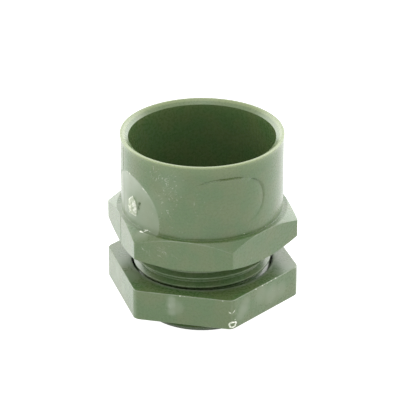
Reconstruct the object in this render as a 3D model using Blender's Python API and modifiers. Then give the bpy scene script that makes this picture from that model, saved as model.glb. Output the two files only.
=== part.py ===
"""Male conduit adaptor in PVC: socket, hexagonal flange and threaded spigot in one moulding, and its locknut.

The axis is +Z and the origin is the middle of the spigot's end, which the part stands on. The hexagons have
their flats facing +X and -X, the mould parted along the XZ plane, and the oval pad faces -Y.
Lengths are in metres and angles in degrees.
"""

import math

import bmesh
import bpy

# Trade size: the conduit's outside, from which the socket, the thread and both hexagons follow
CONDUIT_RADIUS = 0.0167

# Socket
SOCKET_CLEARANCE = 0.00027
SOCKET_TAPER = 0.0003
SOCKET_WALL = 0.00183
SOCKET_LENGTH = 0.0182
STOP_THICKNESS = 0.00311
LEAD_IN_WIDTH = 0.00065
LEAD_IN_DEPTH = 0.0007
RIM_ROUNDING = 0.0002
RIM_LIP = 0.00015
RIM_LIP_HEIGHT = 0.0007

# Hexagons of the flange and the locknut, one size for one wrench
HEXAGON_MARGIN = 0.00298

# Flange
FLANGE_THICKNESS = 0.00751
FLANGE_TOP_SLOPE = 31.0
FLANGE_UNDER_SLOPE = 27.3
FLANGE_CORNER_ROUNDING = 0.0008
FOOT_FILLET = 0.00025
TOP_LEDGE = 0.00105
SEAT_MARGIN = 0.0003

# Threaded spigot, 11.5 threads to the inch, cut a little inside the conduit's size
SPIGOT_LENGTH = 0.01844
SPIGOT_WALL = 0.002
THREAD_PITCH = 0.0254 / 11.5
THREAD_UNDERSIZE = 0.0006
THREAD_DEPTH = 0.0012
THREAD_CREST_WIDTH = 0.00035
THREAD_FLANK = 30.0
THREAD_PHASE = 0.0016
RELIEF_HEIGHT = 0.0019
RELIEF_STEP = 0.00005
LEAD_CHAMFER = 0.00217

# Locknut
NUT_THICKNESS = 0.0075
NUT_GAP = 0.0063
NUT_CORNER_ROUNDING = 0.002
NUT_EDGE_ROUNDING = 0.0002
NUT_MOUTH_CHAMFER = 0.00048
NUT_THREAD_DEPTH = 0.0007
NUT_CLEARANCE = 0.0003

# Oval pad sunk in the socket's front, between a margin under the rim and one above the flange
PAD_HALF_WIDTH = 0.00955
PAD_RIM_MARGIN = 0.00315
PAD_FOOT_MARGIN = 0.00255
PAD_DEPTH = 0.0003
PAD_SQUARENESS = 2.4

# Broken-off gates of the mouldings, tapered to their torn ends
GATE_TAPER = 0.7
BODY_GATE_ANGLE = -73.8
BODY_GATE_ABOVE_FLANGE = 0.0046
BODY_GATE_HALF_WIDTH = 0.0008
BODY_GATE_HALF_HEIGHT = 0.0021
BODY_GATE_STAND_OFF = 0.0006
NUT_GATE_HALF_WIDTH = 0.0008
NUT_GATE_ABOVE_BASE = 0.0012
NUT_GATE_STAND_OFF = 0.0003

# Sage-green PVC with a soft gloss
BODY_COLOUR = (0.185, 0.262, 0.162)
NUT_COLOUR = (0.180, 0.255, 0.158)
ROUGHNESS = 0.38

# Fineness of the round faces, and the angles from which an edge is rounded or stays sharp
TURN_STEPS = 72
ARC_STEPS = 3
EDGE_STEPS = 2
PAD_POINTS = 40
GATE_POINTS = 12
ROUNDED_ANGLE = 60.0
SHARP_ANGLE = 24.0

# Overlap that lets a cutter run past the face that it cuts
OVERRUN = 0.001

SOCKET_RADIUS = CONDUIT_RADIUS + SOCKET_CLEARANCE
TUBE_RADIUS = SOCKET_RADIUS + SOCKET_WALL
HEXAGON_FLAT_RADIUS = CONDUIT_RADIUS + HEXAGON_MARGIN
FLANGE_TOP_Z = SPIGOT_LENGTH + FLANGE_THICKNESS
RIM_Z = FLANGE_TOP_Z + SOCKET_LENGTH
STOP_Z = SPIGOT_LENGTH + STOP_THICKNESS
PAD_HALF_HEIGHT = (SOCKET_LENGTH - PAD_RIM_MARGIN - PAD_FOOT_MARGIN) / 2
PAD_Z = FLANGE_TOP_Z + PAD_FOOT_MARGIN + PAD_HALF_HEIGHT
THREAD_CREST_RADIUS = CONDUIT_RADIUS - THREAD_UNDERSIZE
THREAD_ROOT_RADIUS = THREAD_CREST_RADIUS - THREAD_DEPTH
PASSAGE_RADIUS = THREAD_ROOT_RADIUS - SPIGOT_WALL
NUT_TOP_Z = SPIGOT_LENGTH - NUT_GAP
NUT_BASE_Z = NUT_TOP_Z - NUT_THICKNESS
NUT_BORE_RADIUS = THREAD_CREST_RADIUS + NUT_CLEARANCE


def clear_scene():
    """Empties the scene and makes the two collections."""
    for thing in list(bpy.data.objects):
        bpy.data.objects.remove(thing, do_unlink=True)
    collections = []
    for name in ("conduit_connector", "cutters"):
        collection = bpy.data.collections.new(name)
        bpy.context.scene.collection.children.link(collection)
        collections.append(collection)
    return collections


def add_object(name, mesh, collection):
    """Links a mesh as an object; those in the cutters' collection are guides that don't render."""
    thing = bpy.data.objects.new(name, mesh)
    collection.objects.link(thing)
    if collection.name.startswith("cutters"):
        thing.hide_render = True
        thing.display_type = "WIRE"
    return thing


def plastic(name, colour):
    """Moulded PVC with a soft gloss."""
    material = bpy.data.materials.new(name)
    material.use_nodes = True
    shader = material.node_tree.nodes["Principled BSDF"]
    shader.inputs["Base Color"].default_value = (*colour, 1.0)
    shader.inputs["Roughness"].default_value = ROUGHNESS
    shader.inputs["Metallic"].default_value = 0.0
    material.diffuse_color = (*colour, 1.0)
    return material


def rise(run, slope):
    """Height gained over a horizontal run at a slope in degrees."""
    return run * math.tan(math.radians(slope))


def arc(centre, radius, first, last):
    """Points of an arc in the (radius, height) plane, from one angle to another, ends included."""
    points = []
    for step in range(ARC_STEPS + 1):
        angle = math.radians(first + (last - first) * step / ARC_STEPS)
        points.append((centre[0] + radius * math.cos(angle), centre[1] + radius * math.sin(angle)))
    return points


def turned(name, profile, collection):
    """Solid of revolution about Z; the profile runs down its outer side from axis to axis."""
    mesh = bpy.data.meshes.new(name)
    points = [(radius, 0.0, height) for radius, height in profile]
    edges = [(i, i + 1) for i in range(len(points) - 1)]
    mesh.from_pydata(points, edges, [])
    thing = add_object(name, mesh, collection)
    screw = thing.modifiers.new("Turn", "SCREW")
    screw.axis = "Z"
    screw.angle = math.tau
    screw.steps = TURN_STEPS
    screw.render_steps = TURN_STEPS
    screw.use_merge_vertices = True
    screw.merge_threshold = 0.000001
    return thing


def boolean(thing, other, operation):
    """Adds an exact Boolean modifier that takes the other object as its tool."""
    modifier = thing.modifiers.new(other.name, "BOOLEAN")
    modifier.operation = operation
    modifier.object = other
    modifier.solver = "EXACT"


def rounded_corner_radius(flat_radius, rounding):
    """Distance from the axis to the middle of a hexagon's rounded corner."""
    return (flat_radius - rounding) / math.cos(math.pi / 6) + rounding


def rounded_hexagon(name, flat_radius, rounding, bottom, top, collection):
    """Hexagonal prism with two flats facing +X and -X, and rounded upright corners."""
    mesh = bpy.data.meshes.new(name)
    shape = bmesh.new()
    bmesh.ops.create_cone(
        shape,
        cap_ends=True,
        segments=6,
        radius1=rounded_corner_radius(flat_radius, 0.0),
        radius2=rounded_corner_radius(flat_radius, 0.0),
        depth=top - bottom,
    )
    bmesh.ops.translate(shape, verts=shape.verts, vec=(0.0, 0.0, (top + bottom) / 2))
    upright = [e for e in shape.edges if abs(e.verts[0].co.z - e.verts[1].co.z) > (top - bottom) / 2]
    bmesh.ops.bevel(
        shape,
        geom=upright,
        offset=rounding * math.tan(math.pi / 6),
        offset_type="OFFSET",
        segments=ARC_STEPS,
        profile=0.5,
        affect="EDGES",
    )
    shape.to_mesh(mesh)
    shape.free()
    return add_object(name, mesh, collection)


def thread_rod(name, root_radius, crest_radius, crest_width, bottom, top, collection):
    """Right-handed threaded rod, solid to the axis, reaching past both heights by a turn.

    Each step round the helix has the four points of one ridge, and the last of them joins the first point of
    the ridge one turn higher. A point on the axis closes each end. The steps lie midway between those of the
    turned shapes, so that no edge of the thread runs along an edge of what cuts it.
    """
    flank_height = rise(crest_radius - root_radius, THREAD_FLANK)
    profile = [
        (root_radius, -crest_width / 2 - flank_height),
        (crest_radius, -crest_width / 2),
        (crest_radius, crest_width / 2),
        (root_radius, crest_width / 2 + flank_height),
    ]
    first_turn = math.floor((bottom - THREAD_PHASE) / THREAD_PITCH) - 1
    last_turn = math.ceil((top - THREAD_PHASE) / THREAD_PITCH) + 1
    count = (last_turn - first_turn) * TURN_STEPS
    shape = bmesh.new()
    rows = []
    for step in range(count + 1):
        turns = (step + 0.5) / TURN_STEPS
        angle = math.tau * turns - math.pi / 2
        height = THREAD_PHASE + THREAD_PITCH * (first_turn + turns)
        rows.append(
            [shape.verts.new((r * math.cos(angle), r * math.sin(angle), height + dz)) for r, dz in profile]
        )
    for low, high in zip(rows, rows[1:]):
        for j in range(3):
            shape.faces.new((low[j], high[j], high[j + 1], low[j + 1]))
    for step in range(count - TURN_STEPS):
        low, high = rows[step], rows[step + 1]
        above, above_high = rows[step + TURN_STEPS], rows[step + TURN_STEPS + 1]
        shape.faces.new((low[3], high[3], above_high[0], above[0]))
    lower_rim = [row[0] for row in rows[: TURN_STEPS + 1]] + rows[0][:0:-1]
    upper_rim = [row[3] for row in rows[count - TURN_STEPS :]] + rows[count][2::-1]
    foot = shape.verts.new((0.0, 0.0, bottom - 2 * THREAD_PITCH - flank_height))
    head = shape.verts.new((0.0, 0.0, top + 2 * THREAD_PITCH + flank_height))
    for rim, tip in ((lower_rim, foot), (upper_rim, head)):
        for here, there in zip(rim, rim[1:] + rim[:1]):
            shape.faces.new((there, here, tip))
    bmesh.ops.recalc_face_normals(shape, faces=shape.faces)
    mesh = bpy.data.meshes.new(name)
    shape.to_mesh(mesh)
    shape.free()
    return add_object(name, mesh, collection)


def gate_stub(name, half_width, half_height, reach, collection):
    """Tapered stub along +X, from inside the wall out to its broken face."""
    mesh = bpy.data.meshes.new(name)
    shape = bmesh.new()
    bmesh.ops.create_cone(
        shape, cap_ends=True, segments=GATE_POINTS, radius1=1.0, radius2=GATE_TAPER, depth=1.0
    )
    for vert in shape.verts:
        x, y, z = vert.co
        vert.co = ((z + 0.5) * reach, y * half_width, -x * half_height)
    bmesh.ops.recalc_face_normals(shape, faces=shape.faces)
    shape.to_mesh(mesh)
    shape.free()
    return add_object(name, mesh, collection)


def oval_plug(collection):
    """Cutter for the oval pad: an oval block in front of a cylinder as deep as the pad's floor.

    No point of the oval is straight above the axis, where the tube has an edge.
    """
    mesh = bpy.data.meshes.new("pad_cutter")
    shape = bmesh.new()
    ring = []
    for step in range(PAD_POINTS):
        angle = math.tau * (step + 0.5) / PAD_POINTS
        cosine, sine = math.cos(angle), math.sin(angle)
        x = math.copysign(abs(cosine) ** (2 / PAD_SQUARENESS), cosine) * PAD_HALF_WIDTH
        z = math.copysign(abs(sine) ** (2 / PAD_SQUARENESS), sine) * PAD_HALF_HEIGHT
        ring.append(shape.verts.new((x, -TUBE_RADIUS - OVERRUN, PAD_Z + z)))
    face = shape.faces.new(ring)
    pushed = bmesh.ops.extrude_face_region(shape, geom=[face])
    moved = [v for v in pushed["geom"] if isinstance(v, bmesh.types.BMVert)]
    bmesh.ops.translate(shape, verts=moved, vec=(0.0, TUBE_RADIUS / 2, 0.0))
    bmesh.ops.recalc_face_normals(shape, faces=shape.faces)
    shape.to_mesh(mesh)
    shape.free()
    plug = add_object("pad_cutter", mesh, collection)
    floor_radius = TUBE_RADIUS - PAD_DEPTH
    core = turned(
        "pad_floor",
        [(0.0, RIM_Z + OVERRUN), (floor_radius, RIM_Z + OVERRUN), (floor_radius, 0.0), (0.0, 0.0)],
        collection,
    )
    boolean(plug, core, "DIFFERENCE")
    return plug


def body_blank(collection):
    """Turned outside of the socket with its lipped rim and of the flange, solid to the axis."""
    blank_radius = rounded_corner_radius(HEXAGON_FLAT_RADIUS, 0.0) + OVERRUN
    lip_centre = TUBE_RADIUS + RIM_LIP - RIM_ROUNDING
    ledge_radius = TUBE_RADIUS + TOP_LEDGE
    seat_radius = HEXAGON_FLAT_RADIUS - SEAT_MARGIN
    profile = [(0.0, RIM_Z)]
    profile += arc((lip_centre, RIM_Z - RIM_ROUNDING), RIM_ROUNDING, 90, 0)
    profile += [(TUBE_RADIUS, RIM_Z - RIM_LIP_HEIGHT)]
    profile += arc((TUBE_RADIUS + FOOT_FILLET, FLANGE_TOP_Z + FOOT_FILLET), FOOT_FILLET, 180, 270)
    profile += [
        (ledge_radius, FLANGE_TOP_Z),
        (blank_radius, FLANGE_TOP_Z - rise(blank_radius - ledge_radius, FLANGE_TOP_SLOPE)),
        (blank_radius, SPIGOT_LENGTH + rise(blank_radius - seat_radius, FLANGE_UNDER_SLOPE)),
        (seat_radius, SPIGOT_LENGTH),
        (0.0, SPIGOT_LENGTH),
    ]
    return turned("connector_body", profile, collection)


def threaded_spigot(collection):
    """Threaded rod trimmed to the spigot's length, its lead-in chamfer and the plain neck under the flange."""
    top = SPIGOT_LENGTH + OVERRUN
    rod = thread_rod(
        "spigot", THREAD_ROOT_RADIUS, THREAD_CREST_RADIUS, THREAD_CREST_WIDTH, 0.0, top, collection
    )
    outside = THREAD_CREST_RADIUS + OVERRUN
    neck_radius = THREAD_ROOT_RADIUS - RELIEF_STEP
    neck_z = SPIGOT_LENGTH - RELIEF_HEIGHT
    profile = [
        (0.0, top),
        (neck_radius, top),
        (neck_radius, neck_z),
        (outside, neck_z),
        (outside, LEAD_CHAMFER + OVERRUN),
        (THREAD_CREST_RADIUS - LEAD_CHAMFER, 0.0),
        (0.0, 0.0),
    ]
    boolean(rod, turned("spigot_envelope", profile, collection), "INTERSECT")
    return rod


def bore_cutter(collection):
    """Inside of the moulding: the passage through the spigot, the conduit stop and the tapered socket.

    It is turned by half a step, so that its edges miss those of the faces that it cuts.
    """
    widening = LEAD_IN_WIDTH / LEAD_IN_DEPTH
    profile = [
        (0.0, RIM_Z + OVERRUN),
        (SOCKET_RADIUS + LEAD_IN_WIDTH + OVERRUN * widening, RIM_Z + OVERRUN),
        (SOCKET_RADIUS, RIM_Z - LEAD_IN_DEPTH),
        (SOCKET_RADIUS - SOCKET_TAPER, STOP_Z),
        (PASSAGE_RADIUS, STOP_Z),
        (PASSAGE_RADIUS, -OVERRUN),
        (0.0, -OVERRUN),
    ]
    cutter = turned("bore_cutter", profile, collection)
    cutter.rotation_euler = (0.0, 0.0, math.pi / TURN_STEPS)
    return cutter


def build_body(parts, cutters):
    """Socket, hexagonal flange and threaded spigot as one moulding."""
    body = body_blank(parts)
    hexagon = rounded_hexagon(
        "flange_hexagon", HEXAGON_FLAT_RADIUS, FLANGE_CORNER_ROUNDING, 0.0, RIM_Z + OVERRUN, cutters
    )
    boolean(body, hexagon, "INTERSECT")
    boolean(body, threaded_spigot(cutters), "UNION")
    boolean(body, oval_plug(cutters), "DIFFERENCE")
    inside = SOCKET_WALL / 2
    stub = gate_stub(
        "body_gate", BODY_GATE_HALF_WIDTH, BODY_GATE_HALF_HEIGHT, inside + BODY_GATE_STAND_OFF, cutters
    )
    angle = math.radians(BODY_GATE_ANGLE - 90)
    start = TUBE_RADIUS - inside
    stub.location = (start * math.cos(angle), start * math.sin(angle), FLANGE_TOP_Z + BODY_GATE_ABOVE_FLANGE)
    stub.rotation_euler = (0.0, 0.0, angle)
    boolean(body, stub, "UNION")
    boolean(body, bore_cutter(cutters), "DIFFERENCE")
    body.data.materials.append(plastic("sage_pvc_body", BODY_COLOUR))
    return body


def nut_bore(cutters):
    """Threaded hole of the nut with a chamfered mouth at both faces, as one cutter."""
    tap = thread_rod(
        "nut_tap",
        NUT_BORE_RADIUS,
        NUT_BORE_RADIUS + NUT_THREAD_DEPTH,
        THREAD_CREST_WIDTH,
        NUT_BASE_Z,
        NUT_TOP_Z,
        cutters,
    )
    wide = NUT_BORE_RADIUS + NUT_MOUTH_CHAMFER + OVERRUN
    narrow = NUT_BORE_RADIUS - OVERRUN
    profile = [
        (0.0, NUT_TOP_Z + OVERRUN),
        (wide, NUT_TOP_Z + OVERRUN),
        (narrow, NUT_TOP_Z - NUT_MOUTH_CHAMFER - OVERRUN),
        (narrow, NUT_BASE_Z + NUT_MOUTH_CHAMFER + OVERRUN),
        (wide, NUT_BASE_Z - OVERRUN),
        (0.0, NUT_BASE_Z - OVERRUN),
    ]
    return tap, turned("nut_mouths", profile, cutters)


def build_nut(parts, cutters):
    """Plain hexagonal locknut with its threaded hole."""
    nut = rounded_hexagon(
        "locknut", HEXAGON_FLAT_RADIUS, NUT_CORNER_ROUNDING, NUT_BASE_Z, NUT_TOP_Z, parts
    )
    rounding = nut.modifiers.new("Edges", "BEVEL")
    rounding.width = NUT_EDGE_ROUNDING
    rounding.segments = EDGE_STEPS
    rounding.limit_method = "ANGLE"
    rounding.angle_limit = math.radians(ROUNDED_ANGLE)
    inside = (HEXAGON_FLAT_RADIUS - NUT_BORE_RADIUS) / 2
    stub = gate_stub(
        "nut_gate", NUT_GATE_HALF_WIDTH, NUT_GATE_HALF_WIDTH, inside + NUT_GATE_STAND_OFF, cutters
    )
    corner = rounded_corner_radius(HEXAGON_FLAT_RADIUS, NUT_CORNER_ROUNDING)
    stub.location = (0.0, inside - corner, NUT_BASE_Z + NUT_GATE_ABOVE_BASE)
    stub.rotation_euler = (0.0, 0.0, -math.pi / 2)
    boolean(nut, stub, "UNION")
    for cutter in nut_bore(cutters):
        boolean(nut, cutter, "DIFFERENCE")
    nut.data.materials.append(plastic("sage_pvc_nut", NUT_COLOUR))
    return nut


def finish(thing):
    """Applies the modifiers and shades the round faces smooth, with sharp edges kept."""
    evaluated = thing.evaluated_get(bpy.context.evaluated_depsgraph_get())
    mesh = bpy.data.meshes.new_from_object(evaluated)
    thing.modifiers.clear()
    thing.data = mesh
    mesh.name = thing.name
    mesh.shade_smooth()
    mesh.set_sharp_from_angle(angle=math.radians(SHARP_ANGLE))


def main():
    parts, cutters = clear_scene()
    body = build_body(parts, cutters)
    nut = build_nut(parts, cutters)
    finish(body)
    finish(nut)


main()
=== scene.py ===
"""Looks of the PVC conduit connector: fine meshes of its two mouldings, plastic, wear, painted highlights,
floor, light, camera.

Lengths are in millimetres and angles in degrees until a mesh is made, which turns them into metres.
An azimuth is 0 at the object's front (-Y) and grows towards +X; both hexagons have a corner at azimuth 0.
"""

import math
import random

import bmesh
import bpy
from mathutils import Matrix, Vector, noise


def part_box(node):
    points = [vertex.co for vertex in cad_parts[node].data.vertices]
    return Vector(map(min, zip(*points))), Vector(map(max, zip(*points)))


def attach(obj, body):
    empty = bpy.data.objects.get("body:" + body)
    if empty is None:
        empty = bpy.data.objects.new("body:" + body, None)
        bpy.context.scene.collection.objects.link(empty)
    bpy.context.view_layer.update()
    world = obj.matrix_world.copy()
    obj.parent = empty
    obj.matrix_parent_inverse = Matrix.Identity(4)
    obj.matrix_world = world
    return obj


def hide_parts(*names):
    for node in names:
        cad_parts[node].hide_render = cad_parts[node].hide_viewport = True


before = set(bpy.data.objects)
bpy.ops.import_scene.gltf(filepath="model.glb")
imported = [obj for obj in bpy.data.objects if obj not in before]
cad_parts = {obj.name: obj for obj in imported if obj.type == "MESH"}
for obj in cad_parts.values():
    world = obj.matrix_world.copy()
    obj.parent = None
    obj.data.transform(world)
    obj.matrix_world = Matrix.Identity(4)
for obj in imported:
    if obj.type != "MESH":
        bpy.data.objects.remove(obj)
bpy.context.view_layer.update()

MM = 0.001

# Angle from corner to corner of a hexagon in degrees, and half of it in radians
SECTOR = 60.0
HALF_SECTOR = math.pi / 6

# Heights from the frame
_, BODY_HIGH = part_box("connector_body")
NUT_LOW, NUT_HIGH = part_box("locknut")
RIM_Z = BODY_HIGH.z / MM
NUT_BASE_Z = NUT_LOW.z / MM
NUT_TOP_Z = NUT_HIGH.z / MM

# Socket: its bore, lead-in chamfer, the rim's sloping land and the lip round the rim
BORE_RADIUS = 16.97
BORE_TAPER = 0.3
STOP_Z = 21.55
LEAD_IN_WIDTH = 1.3
LEAD_IN_DEPTH = 0.75
LEAD_IN_ROUNDING = 0.12
TUBE_RADIUS = 18.8
LAND_RISE = 0.24
LAND_OUTER_RISE = 0.15
LAND_ROUNDING = 0.1
RIM_ROUNDING = 0.12
RIM_LIP = 0.15
RIM_LIP_HEIGHT = 0.7
RIM_LIP_ROUNDING = 0.3
RIM_LIP_RUN = 0.5

# Flange: its hexagon, the turned slopes above and below, and the seat under it
HEXAGON_FLAT = NUT_HIGH.x / MM
FLANGE_CORNER = 0.8
FLANGE_TOP_Z = 25.95
FOOT_RUN = 1.0
FOOT_FILLET = 0.1
TOP_SLOPE = 31.0
UNDER_SLOPE = 27.3
EDGE_ROUNDING = 0.16
EDGE_ROW = 0.3
EDGE_DROP = 0.02
SEAT_Z = 18.44
SEAT_MARGIN = 0.3
SEAT_ROUNDING = 0.08
SEAT_RUN = 1.0

# Ledge at the tube's foot, and the small step down from it, which grows from the flats to the corners
LEDGE_RADIUS = 19.85
LEDGE_MARGIN = 0.12
LEDGE_ROUNDING = 0.06
LEDGE_STEP = 0.12
LEDGE_STEP_GROWTH = (LEDGE_RADIUS + 0.2, LEDGE_RADIUS + 1.2)
LEDGE_STEP_RUN = 0.04
LEDGE_STEP_ROUNDING = 0.03

# Thread, relief neck above it, lead-in below it and passage inside
PITCH = 25.4 / 11.5
CREST_RADIUS = 16.1
THREAD_DEPTH = 1.2
CREST_WIDTH = 0.35
THREAD_FLANK = 30.0
THREAD_PHASE = 1.6
THREAD_ROUNDING = 0.14
RELIEF_RADIUS = 14.85
RELIEF_HEIGHT = 1.9
LEAD_CHAMFER = 2.17
CHAMFER_MARGIN = 0.02
PASSAGE_RADIUS = 12.9

# Locknut
NUT_FLAT = HEXAGON_FLAT + 0.2
NUT_CORNER = 2.0
NUT_EDGE = 0.2
NUT_EDGE_RUN = 1.0
NUT_BORE = 16.4
NUT_THREAD_DEPTH = 0.7
NUT_MOUTH = 0.48
NUT_FACE_INSET = 0.8

# Oval pad on the tube's front. PAD_EDGES has directions from its middle, each with the step up into the pad
# and the depth of the groove round it; the step fades towards the middle
PAD_HALF_WIDTH = 9.55
PAD_HALF_HEIGHT = 6.25
PAD_BELOW_RIM = 9.4
PAD_SQUARENESS = 2.4
PAD_EDGE_WIDTH = 0.16
PAD_GROOVE_WIDTH = 0.3
PAD_STEP_FADE = 8
PAD_REACH = 1.1
PAD_REACH_AZIMUTH = 60.0
PAD_MIDDLE = 0.001
PAD_EDGES = (
    (-180, -0.09, 0.03), (-140, -0.09, 0.03), (-90, -0.1, 0.04), (-40, -0.1, 0.05), (0, -0.2, 0.08),
    (20, -0.38, 0.16), (38, -0.36, 0.16), (48, 0.0, 0.03), (62, 0.24, 0.14), (95, 0.28, 0.14),
    (125, 0.18, 0.1), (150, 0.02, 0.03), (180, -0.09, 0.03),
)

# Round pad about the gate
GATE_PAD_AZIMUTH = -78.3
GATE_PAD_BELOW_RIM = 15.8
GATE_PAD_RADIUS = 9.85
GATE_PAD_DEPTH = 0.07
GATE_PAD_EDGE = 0.12

# Torn gate stubs: azimuth, height, half width, half height, stand-off and seed. The body's leans over, and
# the nut's is a ragged ring round a hollow
BODY_STUB = (-73.8, 30.7, 1.25, 2.25, 0.95, 3)
NUT_STUB = (0.7, 5.85, 0.98, 0.98, 0.42, 11)
STUB_LEAN = -0.22
STUB_DOME_POWER = 4
STUB_RING_RISE = (0.42, 0.6)
STUB_RING_FALL = (0.72, 1.0)
STUB_HOLLOW = 0.4
STUB_SUNK = 0.12
STUB_ROOT = 0.5

# Raggedness of the stubs' outline, and their lumps: strength, cells to the millimetre across and up, and the
# shift of the seed; then the lift without lumps and what the lumps add
STUB_RAGGED = 0.22
STUB_RAGGED_SCALE = 1.6
STUB_LUMPS = ((1.0, 2.6, 1.1, 7.0), (0.5, 6.0, 2.4, 3.0))
STUB_LEVEL = 0.85
STUB_LUMP_LEVEL = 0.9

# Small dents in the tube: azimuth, distance below the rim, half size and depth
DENTS = ((-67.4, 12.4, 0.6, 0.75), (-68.3, 13.4, 0.55, 0.7), (-66.3, 11.9, 0.4, 0.4), (-48.0, 8.6, 0.5, 0.03))

# Hazed places and painted highlights: azimuth, radius, height, reach and strength, which is full in the core's
# share of the reach
# Those on the nut's left flats and top corners are painted highlight where these faces catch the light
HAZE_AND_HIGHLIGHT_SPOTS = (
    (9.4, 21.4, 8.5, 2.2, 0.36), (11.4, 21.2, 9.9, 1.8, 0.28), (7.0, 21.7, 7.3, 1.8, 0.3),
    (-37.6, 20.0, 10.8, 1.4, 0.5), (-37.4, 20.0, 9.4, 1.6, 0.6), (-37.5, 20.0, 7.8, 1.5, 0.5),
    (-38.6, 20.0, 9.0, 0.7, 0.8), (-35.0, 19.9, 9.0, 2.6, 0.3),
    (26.0, 20.0, 9.8, 3.0, 0.25), (36.0, 20.0, 8.6, 3.4, 0.3), (45.0, 20.6, 8.4, 2.6, 0.25),
    (-98.0, 19.9, 9.4, 2.4, 0.5), (-84.0, 19.9, 7.4, 2.2, 0.5), (-104.0, 20.4, 7.0, 1.8, 0.35),
    (-76.0, 19.6, 12.1, 3.4, 0.2), (-98.0, 19.2, 12.1, 3.4, 0.2),
    (60.0, 20.6, 12.1, 3.0, 0.2), (48.0, 19.4, 12.1, 1.8, 0.2), (-66.0, 19.6, 22.5, 2.6, 0.3),
    (-60.0, 19.9, 26.0, 2.4, 0.4), (-40.0, 18.8, 40.0, 5.0, 0.12), (-50.0, 18.8, 34.0, 5.0, 0.12),
)
HAZE_AND_HIGHLIGHT_CORE = 0.3

# Whitened edges, partly real wear and partly painted highlight: strength, and the distances from the edge
# between which it fades
NUT_TOP_WEAR_AND_GLINT = (0.85, 0.09, 0.19)
NUT_BASE_WEAR_AND_GLINT = (0.425, 0.09, 0.19)
MOUTH_WEAR_AND_GLINT = (0.7, 0.16, 0.32)
FLANGE_WEAR_AND_GLINT = (0.7, 0.03, 0.085)
RIM_WEAR_AND_GLINT = (0.8, 0.015, 0.034)

# Whitened corners of the nut, within this many degrees, and whitened crests of the thread, partly wear and
# partly painted highlight
CORNER_WEAR_AND_GLINT = 0.2
CORNER_WEAR_AND_GLINT_REACH = 1.1
CORNER_WEAR_AND_GLINT_DEPTH = 0.1
CREST_WEAR_AND_GLINT = 0.14
CREST_WEAR_AND_GLINT_DEPTH = 0.12
CREST_WEAR_AND_GLINT_MARGIN = 0.02

# How the edges' wear and painted highlight come and go: their level, their swing and cells to the millimetre
WEAR_AND_GLINT_LEVEL = 0.75
WEAR_AND_GLINT_SWING = 0.6
WEAR_AND_GLINT_SCALE = 0.9

# Haze on the round pad, stronger at its top: the distances below the rim between which it changes, and the
# part of the tube that it keeps to
GATE_PAD_HAZE = 0.42
GATE_PAD_HAZE_TOP = 0.95
GATE_PAD_HAZE_FADE = (6.0, 12.0)
GATE_PAD_HAZE_EDGE = 0.25
HAZE_RIM_MARGIN = 1.0
TUBE_SKIN = 0.5

# Scratches and burrs that catch the light: start and end as azimuth and height, width and lift, which from
# BURR_LIFT up makes a burr; both sink a little into the surface
BURR_LIFT = 0.12
BURR_SUNK = 0.03
FLECKS = (
    (-84.5, 37.8, -80.5, 38.3, 0.42, 0.13), (-80.8, 38.35, -75.6, 38.0, 0.38, 0.12),
    (-64.4, 36.6, -60.8, 35.95, 0.34, 0.12), (-61.2, 36.05, -58.4, 35.5, 0.3, 0.12),
    (-63.6, 25.86, -59.4, 25.94, 0.6, 0.22), (-60.6, 25.9, -57.6, 26.4, 0.5, 0.2),
    (-61.8, 26.2, -59.6, 25.9, 0.45, 0.2), (-57.2, 26.3, -56.2, 26.0, 0.3, 0.15),
    (-70.5, 26.2, -66.0, 26.25, 0.3, 0.1), (12.4, 26.6, 13.6, 26.5, 0.28, 0.12),
    (20.0, 26.4, 21.0, 26.1, 0.22, 0.08), (32.4, 26.3, 33.6, 26.1, 0.26, 0.12),
    (-30.0, 28.1, -32.0, 27.6, 0.2, 0.05), (-33.8, 27.8, -32.4, 28.2, 0.2, 0.05),
    (-22.9, 36.4, -22.6, 34.2, 0.16, 0.035), (-20.9, 37.4, -20.2, 37.9, 0.18, 0.04),
    (-32.2, 40.9, -28.8, 41.2, 0.14, 0.03), (-67.9, 29.8, -67.3, 30.3, 0.3, 0.08),
    (15.7, 20.35, 17.0, 20.9, 0.4, 0.09), (-2.3, 9.5, 0.3, 8.55, 0.34, 0.17),
    (0.0, 8.5, 2.9, 9.85, 0.34, 0.17), (1.7, 6.85, 2.7, 7.1, 0.4, 0.15),
    (-5.8, 11.95, -4.3, 11.9, 0.34, 0.09), (26.0, 12.0, 27.6, 12.08, 0.4, 0.15),
    (19.8, 12.0, 21.1, 12.0, 0.3, 0.14), (34.9, 12.05, 36.3, 12.08, 0.4, 0.15),
    (39.0, 12.05, 40.9, 12.05, 0.42, 0.12), (30.9, 12.0, 32.0, 12.05, 0.26, 0.13),
    (28.6, 12.05, 29.6, 12.05, 0.26, 0.13), (-35.5, 12.0, -34.2, 12.05, 0.34, 0.1),
    (-29.4, 12.05, -28.2, 12.0, 0.34, 0.1), (-32.6, 12.0, -31.4, 12.05, 0.42, 0.12),
    (88.0, 43.9, 92.5, 44.15, 0.45, 0.2), (94.0, 44.15, 97.5, 44.0, 0.38, 0.18),
    (99.5, 43.9, 101.5, 43.85, 0.24, 0.12),
)

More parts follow.
